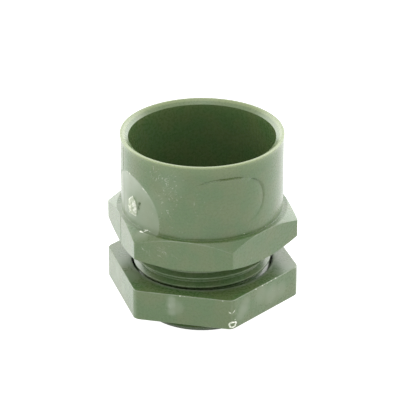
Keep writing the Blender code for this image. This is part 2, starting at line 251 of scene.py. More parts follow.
# Fine scratches strewn by the seed: middle azimuth and height, spreads of both, number, length, width and
# lean in degrees; then how far the leans, lengths and widths vary, and the lift's share of the width
STREWN = (
    (-41.0, 37.5, 9.0, 5.5, 36, 1.4, 0.15, 48.0), (-42.0, 38.5, 6.0, 4.0, 18, 2.0, 0.13, 40.0),
    (-40.0, 33.0, 10.0, 6.0, 20, 1.0, 0.15, 118.0), (-53.0, 41.0, 6.0, 2.6, 20, 1.8, 0.14, 58.0),
    (-50.0, 29.0, 3.5, 2.5, 5, 0.8, 0.2, 62.0), (-45.0, 22.8, 10.0, 2.0, 34, 2.6, 0.11, 128.0),
    (-14.0, 34.0, 9.0, 4.0, 8, 0.6, 0.15, 60.0), (100.0, 35.0, 40.0, 6.0, 20, 1.0, 0.17, 55.0),
    (-170.0, 33.0, 40.0, 6.0, 20, 1.0, 0.17, 55.0), (-30.0, 8.0, 15.0, 2.4, 8, 0.7, 0.15, 60.0),
    (35.0, 8.0, 14.0, 2.4, 8, 0.7, 0.15, 60.0), (-44.0, 40.5, 5.0, 2.0, 8, 0.35, 0.3, 60.0),
)
STREWN_SEED = 5
STREWN_SPREAD = 14.0
STREWN_LENGTHS = (0.5, 1.3)
STREWN_WIDTHS = (0.7, 1.2)
STREWN_LIFT = 0.25

# Parting line, at this azimuth to both sides
PARTING_AZIMUTH = 90.0
PARTING_HEIGHT = 0.05
PARTING_WIDTH = 0.09

# Fineness of the columns round the axis: step, smallest gap, and start, end and step of the finer stretches
COLUMN_STEP = 1.5
COLUMN_GAP = 0.04
AZIMUTH_DIGITS = 4
FINE_STRETCHES = (
    (-33.0, 33.0, 0.5), (22.0, 32.0, 0.25), (-91.0, -89.0, 0.1), (89.0, 91.0, 0.1), (-112.0, -33.0, 0.5),
)
THREAD_COLUMNS = 240

# Fineness of the profiles: steps of their arcs and rows of their walls, finer at the oval pad's top edge
ARC_STEPS = 4
THREAD_ARC_STEPS = 2
MOUTH_STEPS = 5
ARC_SHARE = 0.49
STRAIGHT = math.radians(89.5)
STRAIGHT_STEP = 0.01
ROW_STEP = 0.231
FINE_ROWS = (3.0, 5.2)
FINE_ROW_STEP = 0.09
NUT_ROW_STEP = 0.4
NUT_FACE_RINGS = 8
STUB_RINGS = 9
STUB_POINTS = 36

# Distance within which points are merged, and the angle in radians from which an edge is sharp
MERGE_DISTANCE = 0.0005
SHARP_ANGLE = math.radians(32)

# Colours of the plastic: two tones of its mottling, a painted glow for the thin rim that light shines through,
# and a pale colour for hazed patches and painted highlights; then the depths under the rim that the painted
# glow reaches, with its strength
OLIVE = (0.094, 0.138, 0.049)
GREEN = (0.074, 0.136, 0.045)
LIT_THROUGH = (0.21, 0.265, 0.115)
HAZE_AND_HIGHLIGHT = (0.29, 0.335, 0.25)
RIM_GLOWS = ((3.0, 0.25), (0.3, 0.75))

# Skin of the plastic: each noise's cells to the metre, the values between which it works, and what it
# changes; a bump is a strength and a distance in metres
SKIN_DETAIL = 3.0
MOTTLE_SCALE = 230.0
MOTTLE_LIMITS = (0.36, 0.64)
CLOUD_SCALE = 450.0
CLOUD_LIMITS = (0.25, 0.75)
CLOUD_LEVELS = (0.78, 1.0)
GRAIN_SCALE = 1500.0
GRAIN_LIMITS = (0.3, 0.7)
GRAIN_ROUGHNESS = (0.25, 0.31)
HAZE_ROUGHNESS = 0.2
RIPPLE_SCALE = 350.0
RIPPLE_DETAIL = 1.0
RIPPLE_BUMP = (0.05, 0.0003)
PVC_INDEX = 1.52
COAT_WEIGHT = 0.5
COAT_ROUGHNESS = 0.23

# Scratched and torn plastic: pale and dull colour, cells to the metre and roughness
SCUFFED = ((0.46, 0.5, 0.4), (0.22, 0.28, 0.18), 900.0, 0.35)
TORN = ((0.82, 0.85, 0.74), (0.5, 0.56, 0.42), 1400.0, 0.5)
WORN_DETAIL = 4.0
WORN_LIMITS = (0.38, 0.6)
WORN_BUMP = (0.3, 0.0001)

# Tent round the object: from each elevation up, the radiance from each azimuth on, as the camera sees it,
# where 0 is the camera's own side and 90 its right
TENT = (
    (0, ((-180, 0.3), (-168, 2.2), (-157, 2.7), (-98, 1.6), (-67, 1.6), (-22, 0.9), (22, 0.4), (67, 0.9),
         (98, 2.6), (157, 2.2), (168, 0.3))),
    (17, ((-180, 2.4), (-168, 3.1), (-157, 3.5), (-98, 1.2), (-67, 0.7), (22, 0.7), (67, 2.6), (98, 3.6),
          (157, 3.1), (168, 2.4))),
    (42, ((-180, 2.3), (-157, 1.0), (-98, 1.2), (-67, 1.8), (-22, 1.3), (22, 1.1), (67, 1.1), (98, 1.0),
          (157, 2.3))),
    (60, ((-180, 1.2), (-45, 1.5), (45, 1.2))),
    (68, ((-180, 1.2), (-45, 2.6), (45, 1.2))),
    (80, ((-180, 1.4),)),
)
BAND_SOFTNESS = 2.0

# Floor: half size in metres, the glow that lights the object from below, the weaker glow right under it, a
# painted contact shadow in that light, with the distances in metres between which it changes, and the
# brightness that the camera sees
FLOOR_SIZE = 4.0
FLOOR_ALBEDO = 0.45
FLOOR_ROUGHNESS = 0.9
FLOOR_GLOW = 0.64
UNDER_GLOW = 0.05
UNDER_REACH = (0.012, 0.023)
FLOOR_SEEN = 1.0

# Sockets of a colour mix: its factor, its two colours and its result
MIX_FACTOR, MIX_FIRST, MIX_SECOND, MIX_RESULT = 0, 6, 7, 2

# Camera, matched to the photograph
VIEW_AZIMUTH = -17.3
VIEW_ELEVATION = 26.934
VIEW_DISTANCE = 581.09
VIEW_FOCAL_PIXELS = 2503.2
VIEW_SIDE_PIXELS = 400
VIEW_AIM_HEIGHT = 26.82
VIEW_AIM_RIGHT = -0.49
SENSOR_WIDTH = 36.0


def smooth_step(value, low, high):
    """0 below low, 1 above high and a smooth rise between."""
    t = min(max((value - low) / (high - low), 0.0), 1.0)
    return t * t * (3 - 2 * t)


def place(radius, azimuth, height):
    """Point in millimetres for a radius, an azimuth and a height."""
    angle = math.radians(azimuth)
    return (radius * math.sin(angle), -radius * math.cos(angle), height)


def from_corner(azimuth):
    """Degrees from an azimuth to the nearest corner of the hexagons."""
    return abs((azimuth + SECTOR / 2) % SECTOR - SECTOR / 2)


def corner_arc(rounding, flat):
    """Distance from the axis to the centre of a rounded corner's arc, and the angle to the arc's end."""
    centre = (flat - rounding) / math.cos(HALF_SECTOR)
    return centre, math.atan2(rounding / 2, centre + rounding * math.cos(HALF_SECTOR))


def hexagon_radius(azimuth, rounding, flat=HEXAGON_FLAT):
    """Distance from the axis to the outline of a hexagon with rounded corners."""
    corner_angle = math.radians(from_corner(azimuth))
    centre, tangent = corner_arc(rounding, flat)
    if corner_angle < tangent:
        side = centre * math.sin(corner_angle)
        return centre * math.cos(corner_angle) + math.sqrt(rounding**2 - side**2)
    return flat / math.cos(HALF_SECTOR - corner_angle)


def flange_edge_z(hexagon):
    """Height where the flange's turned top would meet a wall at this distance from the axis."""
    return FLANGE_TOP_Z - math.tan(math.radians(TOP_SLOPE)) * max(0.0, hexagon - LEDGE_RADIUS)


def rounded(profile, steps=ARC_STEPS):
    """Points (radius, height) along a profile of (radius, height, rounding) corners.

    A rounded corner gets an arc, or as many points on a short straight stretch where the profile hardly
    turns, so that profiles at all azimuths have the same number of points.
    """
    points = [profile[0][:2]]
    for before, corner, after in zip(profile, profile[1:], profile[2:]):
        here = Vector(corner[:2])
        back = Vector(before[:2]) - here
        ahead = Vector(after[:2]) - here
        if corner[2] == 0.0:
            points.append(tuple(here))
            continue
        half = back.angle(ahead) / 2
        if half > STRAIGHT:
            onward = ahead.normalized() * STRAIGHT_STEP
            points += [tuple(here + onward * (step - steps / 2)) for step in range(steps + 1)]
            continue
        reach = min(corner[2] / math.tan(half), ARC_SHARE * back.length, ARC_SHARE * ahead.length)
        start = here + back.normalized() * reach
        end = here + ahead.normalized() * reach
        middle = here + (back.normalized() + ahead.normalized()).normalized() * reach / math.cos(half)
        radius = reach * math.tan(half)
        for step in range(steps + 1):
            arm = (start - middle).slerp(end - middle, step / steps).normalized()
            points.append(tuple(middle + arm * radius))
    points.append(profile[-1][:2])
    return points


def pad_edge(direction):
    """Step up into the oval pad and depth of the groove round it, by the direction from the pad's middle."""
    for (low, *first), (high, *last) in zip(PAD_EDGES, PAD_EDGES[1:]):
        if low <= direction <= high:
            share = smooth_step(direction, low, high)
            return [a + (b - a) * share for a, b in zip(first, last)]
    return [0.0, 0.0]


def pad_relief(azimuth, below_rim):
    """Radial offset of the tube in and round the oval pad."""
    x = TUBE_RADIUS * math.sin(math.radians(azimuth))
    y = PAD_BELOW_RIM - below_rim
    beyond = abs(x) > PAD_REACH * PAD_HALF_WIDTH or abs(y) > PAD_REACH * PAD_HALF_HEIGHT
    if abs(azimuth) > PAD_REACH_AZIMUTH or beyond:
        return 0.0
    p = PAD_SQUARENESS
    q = (abs(x / PAD_HALF_WIDTH) ** p + abs(y / PAD_HALF_HEIGHT) ** p) ** (1 / p)
    if q < PAD_MIDDLE:
        return 0.0
    slope_x = q ** (1 - p) * abs(x) ** (p - 1) / PAD_HALF_WIDTH**p
    slope_y = q ** (1 - p) * abs(y) ** (p - 1) / PAD_HALF_HEIGHT**p
    outside = (q - 1) / math.hypot(slope_x, slope_y)
    step, groove = pad_edge(math.degrees(math.atan2(y, x)))
    inside = 1 - smooth_step(outside, -PAD_EDGE_WIDTH / 2, PAD_EDGE_WIDTH / 2)
    half = PAD_GROOVE_WIDTH / 2
    dip = max(0.0, 1 - abs(outside - half) / half)
    return inside * step * min(q, 1.0) ** PAD_STEP_FADE - groove * dip


def gate_pad_distance(azimuth, below_rim):
    """Distance outside the round pad's edge, measured on the unrolled tube."""
    across = math.radians(azimuth - GATE_PAD_AZIMUTH) * TUBE_RADIUS
    return math.hypot(across, below_rim - GATE_PAD_BELOW_RIM) - GATE_PAD_RADIUS


def parting_relief(azimuth):
    """Low ridge where the two halves of the mould met."""
    off = math.radians(abs(abs(azimuth) - PARTING_AZIMUTH)) * TUBE_RADIUS
    return PARTING_HEIGHT * max(0.0, 1 - off / PARTING_WIDTH)


def tube_relief(azimuth, below_rim):
    """Radial offset of the tube's outside from its cylinder."""
    relief = pad_relief(azimuth, below_rim) + parting_relief(azimuth)
    inside_gate = 1 - smooth_step(gate_pad_distance(azimuth, below_rim), -GATE_PAD_EDGE, 0.0)
    for dent_azimuth, dent_below, size, depth in DENTS:
        across = math.radians(azimuth - dent_azimuth) * TUBE_RADIUS
        relief -= depth * (1 - smooth_step(math.hypot(across, below_rim - dent_below), 0.0, size))
    return relief - GATE_PAD_DEPTH * inside_gate


def signed(azimuth):
    """The same azimuth between -180 and 180."""
    return (azimuth + 180.0) % 360.0 - 180.0


def columns(corner_rounding, fine_stretches):
    """Azimuths of a hexagonal piece's columns, closer together at the corners and in the fine stretches."""
    _, tangent = corner_arc(corner_rounding, HEXAGON_FLAT)
    found = {round(COLUMN_STEP * i, AZIMUTH_DIGITS) for i in range(int(360 / COLUMN_STEP))}
    for corner in range(0, 360, int(SECTOR)):
        for step in range(-ARC_STEPS, ARC_STEPS + 1):
            turned = corner + math.degrees(tangent) * step / ARC_STEPS
            found.add(round(turned % 360.0, AZIMUTH_DIGITS))
    for low, high, spacing in fine_stretches:
        for i in range(int((high - low) / spacing) + 1):
            found.add(round((low + i * spacing) % 360.0, AZIMUTH_DIGITS))
    ordered = sorted(found)
    kept = [a for a, b in zip(ordered, ordered[1:]) if b - a > COLUMN_GAP]
    return kept + [ordered[-1]]


def grid(shape, azimuths, profile_at, closed):
    """Faces between the profiles at neighbouring azimuths; returns the first and the last loop of points."""
    strips = []
    for azimuth in azimuths:
        strips.append([shape.verts.new(place(r, azimuth, z)) for r, z in profile_at(azimuth)])
    pairs = list(zip(strips, strips[1:]))
    if closed:
        pairs.append((strips[-1], strips[0]))
    for left, right in pairs:
        for i in range(len(left) - 1):
            shape.faces.new((left[i], left[i + 1], right[i + 1], right[i]))
    return [s[0] for s in strips], [s[-1] for s in strips]


def azimuth_of(vert):
    """Azimuth of a point, from 0 to 360."""
    return math.degrees(math.atan2(vert.co.x, -vert.co.y)) % 360.0


def zip_rings(shape, first, second):
    """Flat band of triangles between two rings of points that differ in number."""
    first = sorted(first, key=azimuth_of)
    second = sorted(second, key=azimuth_of)
    i = j = 0
    while i < len(first) or j < len(second):
        next_i = azimuth_of(first[(i + 1) % len(first)]) + (360 if i + 1 >= len(first) else 0)
        next_j = azimuth_of(second[(j + 1) % len(second)]) + (360 if j + 1 >= len(second) else 0)
        a, b = first[i % len(first)], second[j % len(second)]
        if j >= len(second) or (i < len(first) and next_i <= next_j):
            shape.faces.new((a, b, first[(i + 1) % len(first)]))
            i += 1
        else:
            shape.faces.new((a, b, second[(j + 1) % len(second)]))
            j += 1


def tube_profile(azimuth):
    """From the conduit stop up the bore, over the rim, down the tube and over the flange to its seat."""
    lip_base = RIM_Z - RIM_LIP_HEIGHT
    top = rounded([
        (BORE_RADIUS - BORE_TAPER, STOP_Z, 0.0),
        (BORE_RADIUS, RIM_Z - LEAD_IN_DEPTH, LEAD_IN_ROUNDING),
        (BORE_RADIUS + LEAD_IN_WIDTH, RIM_Z + LAND_RISE, LAND_ROUNDING),
        (TUBE_RADIUS + RIM_LIP, RIM_Z + LAND_OUTER_RISE, RIM_ROUNDING),
        (TUBE_RADIUS, lip_base, RIM_LIP_ROUNDING),
        (TUBE_RADIUS, lip_base - RIM_LIP_RUN, 0.0),
    ])[:-1]
    hexagon = hexagon_radius(azimuth, FLANGE_CORNER) + parting_relief(signed(azimuth))
    ledge = min(LEDGE_RADIUS, hexagon - LEDGE_MARGIN)
    step = LEDGE_STEP * smooth_step(hexagon, *LEDGE_STEP_GROWTH)
    edge_z = flange_edge_z(hexagon) - step / 2 - EDGE_DROP
    under_z = SEAT_Z + math.tan(math.radians(UNDER_SLOPE)) * (hexagon - HEXAGON_FLAT + SEAT_MARGIN)
    bottom = rounded([
        (TUBE_RADIUS, FLANGE_TOP_Z + FOOT_RUN, 0.0),
        (TUBE_RADIUS, FLANGE_TOP_Z, FOOT_FILLET),
        (ledge, FLANGE_TOP_Z, LEDGE_ROUNDING),
        (ledge + LEDGE_STEP_RUN, FLANGE_TOP_Z - step - EDGE_DROP, LEDGE_STEP_ROUNDING),
        (hexagon, edge_z, EDGE_ROUNDING),
        (hexagon, edge_z - EDGE_ROW, 0.0),
        (hexagon, under_z + EDGE_ROW, 0.0),
        (hexagon, under_z, EDGE_ROUNDING),
        (HEXAGON_FLAT - SEAT_MARGIN, SEAT_Z, SEAT_ROUNDING),
        (RELIEF_RADIUS + SEAT_RUN, SEAT_Z, 0.0),
    ])[1:]
    start, end = RIM_Z - top[-1][1], RIM_Z - bottom[0][1]
    wall = []
    below_rim = start + ROW_STEP
    while below_rim < end - ROW_STEP / 2:
        wall.append((TUBE_RADIUS + tube_relief(signed(azimuth), below_rim), RIM_Z - below_rim))
        below_rim += FINE_ROW_STEP if FINE_ROWS[0] < below_rim < FINE_ROWS[1] else ROW_STEP
    return top + wall + bottom


def tooth_corners(root_radius, crest_radius):
    """One turn's section from its upper root to its lower root, about its crest's height."""
    crest = CREST_WIDTH / 2
    root = crest + abs(crest_radius - root_radius) * math.tan(math.radians(THREAD_FLANK))
    return [(root_radius, root), (crest_radius, crest), (crest_radius, -crest), (root_radius, -root)]


def thread_section(azimuth, low, high, root_radius, crest_radius):
    """Thread's section between two heights, from the top down, with as many points at every azimuth."""
    first = math.floor((low - THREAD_PHASE) / PITCH) - 2
    last = math.ceil((high - THREAD_PHASE) / PITCH) + 1
    corners = []
    for turn in range(last, first - 1, -1):
        crest_z = THREAD_PHASE + PITCH * (turn + azimuth / 360.0)
        corners += [(r, crest_z + dz, THREAD_ROUNDING) for r, dz in tooth_corners(root_radius, crest_radius)]
    points = rounded(corners, THREAD_ARC_STEPS)
    clipped = []
    for r, z in points:
        if low <= z <= high:
            clipped.append((r, z))
            continue
        limit = high if z > high else low
        clipped.append((next(
            r1 + (r2 - r1) * (z1 - limit) / (z1 - z2)
            for (r1, z1), (r2, z2) in zip(points, points[1:]) if z1 >= limit >= z2 and z1 > z2
        ), limit))
    return clipped


def spigot_profile(azimuth):
    """From the seat down the relief neck, the thread and its lead-in, and up the passage to the stop."""
    root_radius = CREST_RADIUS - THREAD_DEPTH
    chamfer_end = CREST_RADIUS - LEAD_CHAMFER
    neck_end = SEAT_Z - RELIEF_HEIGHT
    low = root_radius - chamfer_end - CHAMFER_MARGIN
    section = thread_section(azimuth, low, neck_end, root_radius, CREST_RADIUS)
    return (
        [(RELIEF_RADIUS, SEAT_Z), (RELIEF_RADIUS, neck_end)]
        + [(min(r, chamfer_end + z), z) for r, z in section]
        + [(chamfer_end, 0.0), (PASSAGE_RADIUS, 0.0), (PASSAGE_RADIUS, STOP_Z)]
    )


def nut_outer_profile(azimuth):
    """From the top face's inner part over the rounded edge, down the flat and back under the nut."""
    hexagon = hexagon_radius(azimuth, NUT_CORNER, NUT_FLAT)
    inner = NUT_BORE + NUT_MOUTH + NUT_FACE_INSET
    top = rounded([
        (inner, NUT_TOP_Z, 0.0),
        (hexagon, NUT_TOP_Z, NUT_EDGE),
        (hexagon, NUT_TOP_Z - NUT_EDGE_RUN, 0.0),
    ])[:-1]
    base = rounded([
        (hexagon, NUT_BASE_Z + NUT_EDGE_RUN, 0.0),
        (hexagon, NUT_BASE_Z, NUT_EDGE),
        (inner, NUT_BASE_Z, 0.0),
    ])[1:]
    face = top[1][0] - inner
    rings = [(inner + face * ring / NUT_FACE_RINGS, NUT_TOP_Z) for ring in range(1, NUT_FACE_RINGS)]
    start, end = top[-1][1], base[0][1]
    rows = round((start - end) / NUT_ROW_STEP)
    wall = [(hexagon, start + (end - start) * row / rows) for row in range(1, rows)]
    return top[:1] + rings + top[1:] + wall + base


def nut_bore_profile(azimuth):
    """From the rounded upper mouth down the thread to the rounded lower mouth."""
    mouth = []
    for step in range(MOUTH_STEPS + 1):
        angle = math.pi / 2 * step / MOUTH_STEPS
        mouth.append((NUT_BORE + NUT_MOUTH * (1 - math.sin(angle)), NUT_MOUTH * (1 - math.cos(angle))))
    section = thread_section(
        azimuth, NUT_BASE_Z + NUT_MOUTH, NUT_TOP_Z - NUT_MOUTH, NUT_BORE, NUT_BORE + NUT_THREAD_DEPTH)
    upper = [(r, NUT_TOP_Z - depth) for r, depth in mouth]
    lower = [(r, NUT_BASE_Z + depth) for r, depth in reversed(mouth)]
    return upper + section + lower


def edge_wear_and_glint(point):
    """How whitened the plastic is along the edges near a point in millimetres, partly by wear and partly as
    painted highlight.
    """
    radius, azimuth = point.xy.length, math.degrees(math.atan2(point.x, -point.y))
    nut_edge = hexagon_radius(azimuth, NUT_CORNER, NUT_FLAT)
    flange_edge = hexagon_radius(azimuth, FLANGE_CORNER)
    edges = (
        (nut_edge, NUT_TOP_Z, NUT_TOP_WEAR_AND_GLINT),
        (nut_edge, NUT_BASE_Z, NUT_BASE_WEAR_AND_GLINT),
        (NUT_BORE + NUT_MOUTH, NUT_TOP_Z, MOUTH_WEAR_AND_GLINT),
        (flange_edge, flange_edge_z(flange_edge) - LEDGE_STEP / 2, FLANGE_WEAR_AND_GLINT),
        (BORE_RADIUS + LEAD_IN_WIDTH, RIM_Z + LAND_RISE, RIM_WEAR_AND_GLINT),
    )
    found = max(
        strength * (1 - smooth_step(math.hypot(radius - edge, point.z - height), near, far))
        for edge, height, (strength, near, far) in edges)
    if NUT_BASE_Z < point.z < NUT_TOP_Z and radius > nut_edge - CORNER_WEAR_AND_GLINT_DEPTH:
        found = max(found, CORNER_WEAR_AND_GLINT * (1 - smooth_step(from_corner(azimuth), 0.0, CORNER_WEAR_AND_GLINT_REACH)))
    on_crest = CREST_RADIUS - CREST_WEAR_AND_GLINT_DEPTH < radius < CREST_RADIUS + CREST_WEAR_AND_GLINT_MARGIN
    if point.z < SEAT_Z - RELIEF_HEIGHT and on_crest:
        found = max(found, CREST_WEAR_AND_GLINT)
    return found * (WEAR_AND_GLINT_LEVEL + WEAR_AND_GLINT_SWING * noise.noise(point * WEAR_AND_GLINT_SCALE))


def haze_and_highlight_at(point):
    """How hazed the plastic is at a point in millimetres, from 0 to 1, with its painted highlights on edges
    and spots.
    """
    found = edge_wear_and_glint(point)
    for azimuth, radius, height, reach, strength in HAZE_AND_HIGHLIGHT_SPOTS:
        away = (point - Vector(place(radius, azimuth, height))).length
        found = max(found, strength * (1 - smooth_step(away, HAZE_AND_HIGHLIGHT_CORE * reach, reach)))
    if FLANGE_TOP_Z < point.z < RIM_Z - HAZE_RIM_MARGIN and point.xy.length > TUBE_RADIUS - TUBE_SKIN:
        below_rim = RIM_Z - point.z
        edge = gate_pad_distance(signed(math.degrees(math.atan2(point.x, -point.y))), below_rim)
        lower = smooth_step(below_rim, *GATE_PAD_HAZE_FADE)
        level = GATE_PAD_HAZE_TOP + (GATE_PAD_HAZE - GATE_PAD_HAZE_TOP) * lower
        found = max(found, level * (1 - smooth_step(edge, -GATE_PAD_HAZE_EDGE, 0.0)))
    return found


def outer_point(azimuth, height, lift):
    """Point on the outside of the tube, flange or locknut, moved out by the lift."""
    if height > RIM_Z - RIM_LIP_HEIGHT:
        radius = TUBE_RADIUS + RIM_LIP * smooth_step(height, RIM_Z - RIM_LIP_HEIGHT, RIM_Z)
    elif height > FLANGE_TOP_Z:
        radius = TUBE_RADIUS + tube_relief(signed(azimuth), RIM_Z - height)
    elif height > FLANGE_TOP_Z - LEDGE_STEP:
        radius = LEDGE_RADIUS
    elif height > NUT_TOP_Z:
        radius = hexagon_radius(azimuth, FLANGE_CORNER)
    else:
        radius = hexagon_radius(azimuth, NUT_CORNER, NUT_FLAT)
    return Vector(place(radius + lift, azimuth, height))


def add_fleck(shape, start_azimuth, start_z, end_azimuth, end_z, width, lift):
    """Burr of a scratch: a closed spindle, half sunk in the surface."""
    middle = ((start_azimuth + end_azimuth) / 2, (start_z + end_z) / 2)
    tips = [outer_point(start_azimuth, start_z, -BURR_SUNK), outer_point(end_azimuth, end_z, -BURR_SUNK)]
    crest, keel = outer_point(*middle, lift), outer_point(*middle, -3 * BURR_SUNK)
    side = (tips[1] - tips[0]).cross(crest - keel).normalized() * width / 2
    waist = outer_point(*middle, -BURR_SUNK)
    points = [shape.verts.new(p) for p in (*tips, crest, waist + side, keel, waist - side)]
    girth = points[2:]
    for tip in points[:2]:
        for first, second in zip(girth, girth[1:] + girth[:1]):
            shape.faces.new((tip, first, second))


def strewn_flecks(low, high):
    """Fine scratches of the strewn patches that lie between two heights."""
    draw = random.Random(STREWN_SEED)
    found = []
    for azimuth, height, spread, rise, number, length, width, slant in STREWN:
        for _ in range(number):
            a, z = draw.gauss(azimuth, spread / 2), draw.gauss(height, rise / 2)
            reach = length * draw.uniform(*STREWN_LENGTHS) / 2
            lean = math.radians(draw.gauss(slant, STREWN_SPREAD))
            across = math.degrees(reach * math.cos(lean) / TUBE_RADIUS)
            up = reach * math.sin(lean)
            wide = width * draw.uniform(*STREWN_WIDTHS)
            if low < z - abs(up) and z + abs(up) < high:
                found.append((a - across, z - up, a + across, z + up, wide, wide * STREWN_LIFT))
    return found


def flecks_between(low, high, burrs):
    """Placed flecks between two heights: the high ones, which are burrs, or else the scratches."""
    found = []
    for fleck in FLECKS:
        _, start_z, _, _, _, lift = fleck
        if low < start_z < high and (lift >= BURR_LIFT) == burrs:
            found.append(fleck)
    return found


def make_flecks(name, body, flecks, material):
    """One piece for many scratches or burrs of a body."""
    shape = bmesh.new()
    for fleck in flecks:
        add_fleck(shape, *fleck)
    mesh_object(name, shape, body, material)


def stub_lift(share, across, up, hollow, seed):
    """Share of a torn stub's stand-off at a point of it, by the share of the way to its outline."""
    if hollow:
        dome = smooth_step(share, *STUB_RING_RISE) * (1 - smooth_step(share, *STUB_RING_FALL)) - STUB_HOLLOW
    else:
        dome = 1 - share**STUB_DOME_POWER
    lumps = sum(
        strength * noise.noise(Vector((across * x_scale, up * y_scale, seed + shift)))
        for strength, x_scale, y_scale, shift in STUB_LUMPS)
    return dome * (STUB_LEVEL + STUB_LUMP_LEVEL * lumps)


def make_stub(name, body, places, hollow, material):
    """Torn stub of a gate: an uneven, ragged button or ring half sunk in the surface."""
    azimuth, height, half_width, half_height, stand_off, seed = places
    rings = []
    for ring in range(STUB_RINGS + 1):
        share = ring / STUB_RINGS
        points = []
        for i in range(STUB_POINTS):
            turn = math.tau * i / STUB_POINTS
            cosine, sine = math.cos(turn), math.sin(turn)
            ragged = 1 + STUB_RAGGED * noise.noise(
                Vector((cosine * STUB_RAGGED_SCALE, sine * STUB_RAGGED_SCALE, seed)))
            across, up = share * ragged * half_width * cosine, share * ragged * half_height * sine
            lift = max(stand_off * stub_lift(share, across, up, hollow, seed), -STUB_SUNK)
            if ring == STUB_RINGS:
                lift = -STUB_SUNK
            if not hollow:
                across += STUB_LEAN * up
            points.append(outer_point(azimuth + math.degrees(across / TUBE_RADIUS), height + up, lift))
        rings.append(points)
    shape = bmesh.new()
    middle = shape.verts.new(rings[0][0])
    loops = [[shape.verts.new(p) for p in ring] for ring in rings[1:]]
    root = shape.verts.new(outer_point(azimuth, height, -STUB_ROOT))
    for i in range(STUB_POINTS):
        k = (i + 1) % STUB_POINTS
        shape.faces.new((middle, loops[0][i], loops[0][k]))
        for inner, outer in zip(loops, loops[1:]):
            shape.faces.new((inner[i], outer[i], outer[k], inner[k]))
        shape.faces.new((root, loops[-1][k], loops[-1][i]))
    mesh_object(name, shape, body, material)


def mesh_object(name, shape, body, material):
    """Turns a shape into a piece in metres that is shaded smooth, knows its haze and painted highlight and
    rides on its body.
    """
    bmesh.ops.remove_doubles(shape, verts=shape.verts, dist=MERGE_DISTANCE)
    loose = [v for v in shape.verts if not v.link_faces]
    bmesh.ops.delete(shape, geom=loose, context="VERTS")
    bmesh.ops.recalc_face_normals(shape, faces=shape.faces)
    bmesh.ops.scale(shape, vec=(MM, MM, MM), verts=shape.verts)
    mesh = bpy.data.meshes.new(name)
    shape.to_mesh(mesh)
    shape.free()
    haze_and_highlight = mesh.attributes.new("haze_and_highlight", "FLOAT", "POINT")
    haze_and_highlight.data.foreach_set("value", [haze_and_highlight_at(v.co / MM) for v in mesh.vertices])
    mesh.shade_smooth()
    mesh.set_sharp_from_angle(angle=SHARP_ANGLE)
    piece = bpy.data.objects.new(name, mesh)
    bpy.context.scene.collection.objects.link(piece)
    mesh.materials.append(material)
    weighted = piece.modifiers.new("Face weights", "WEIGHTED_NORMAL")
    weighted.keep_sharp = True
    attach(piece, body)
    return piece


def full_turn():
    """Azimuths of the threaded columns, with both 0 and 360, because a helix meets itself one pitch higher."""
    return [360.0 * i / THREAD_COLUMNS for i in range(THREAD_COLUMNS + 1)]


def make_body(material):
    """Fine mesh of the socket, flange and spigot."""
    shape = bmesh.new()
    inner, outer = grid(shape, columns(FLANGE_CORNER, FINE_STRETCHES), tube_profile, True)
    seat, stop = grid(shape, full_turn(), spigot_profile, False)
    zip_rings(shape, outer, seat[:-1])
    zip_rings(shape, inner, stop[:-1])
    piece = mesh_object("body_moulding", shape, "connector_body", material)
    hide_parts("connector_body")


def make_nut(material):
    """Fine mesh of the locknut."""
    shape = bmesh.new()
    top, base = grid(shape, columns(NUT_CORNER, ()), nut_outer_profile, True)
    upper, lower = grid(shape, full_turn(), nut_bore_profile, False)
    zip_rings(shape, top, upper[:-1])
    zip_rings(shape, base, lower[:-1])
    piece = mesh_object("nut_moulding", shape, "locknut", material)
    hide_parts("locknut")


def math_node(nodes, links, operation, *values):
    """Math node whose inputs are numbers or other nodes' outputs."""
    node = nodes.new("ShaderNodeMath")
    node.operation = operation
    for socket, value in zip(node.inputs, values):
        if isinstance(value, (int, float)):
            socket.default_value = value
        else:
            links.new(value, socket)
    return node.outputs[0]


def ramp_node(nodes, links, value, low, high, first, last):
    """Smooth change from one number to another as a value goes from low to high."""
    node = nodes.new("ShaderNodeMapRange")
    node.interpolation_type = "SMOOTHSTEP"
    links.new(value, node.inputs["Value"])
    node.inputs["From Min"].default_value = low
    node.inputs["From Max"].default_value = high
    for name, number in (("To Min", first), ("To Max", last)):
        if isinstance(number, (int, float)):
            node.inputs[name].default_value = number
        else:
            links.new(number, node.inputs[name])
    return node.outputs["Result"]


def mix_node(nodes, links, factor, first, second):
    """Mix of two colours, each a colour or another node's output."""
    node = nodes.new("ShaderNodeMix")
    node.data_type = "RGBA"
    links.new(factor, node.inputs[MIX_FACTOR])
    for socket, value in ((node.inputs[MIX_FIRST], first), (node.inputs[MIX_SECOND], second)):
        if isinstance(value, tuple):
            socket.default_value = (*value, 1.0)
        else:
            links.new(value, socket)
    return node.outputs[MIX_RESULT]


def noise_node(nodes, links, vector, scale, detail):
    """Noise at so many cells to the metre."""
    node = nodes.new("ShaderNodeTexNoise")
    node.inputs["Scale"].default_value = scale
    node.inputs["Detail"].default_value = detail
    links.new(vector, node.inputs["Vector"])
    return node.outputs["Fac"]


def bump_node(nodes, links, shader, height, strength, distance):
    """Bump of a height on a shader."""
    node = nodes.new("ShaderNodeBump")
    node.inputs["Strength"].default_value = strength
    node.inputs["Distance"].default_value = distance
    links.new(height, node.inputs["Height"])
    links.new(node.outputs["Normal"], shader.inputs["Normal"])


def grey(value):
    """Colour with one value in all its channels."""
    return (value, value, value, 1.0)


def new_material(name):
    """New material with its nodes, its links, its shader and the object's own coordinates."""
    material = bpy.data.materials.new(name)
    material.use_nodes = True
    nodes, links = material.node_tree.nodes, material.node_tree.links
    own_place = nodes.new("ShaderNodeTexCoord").outputs["Object"]
    return material, nodes, links, nodes["Principled BSDF"], own_place


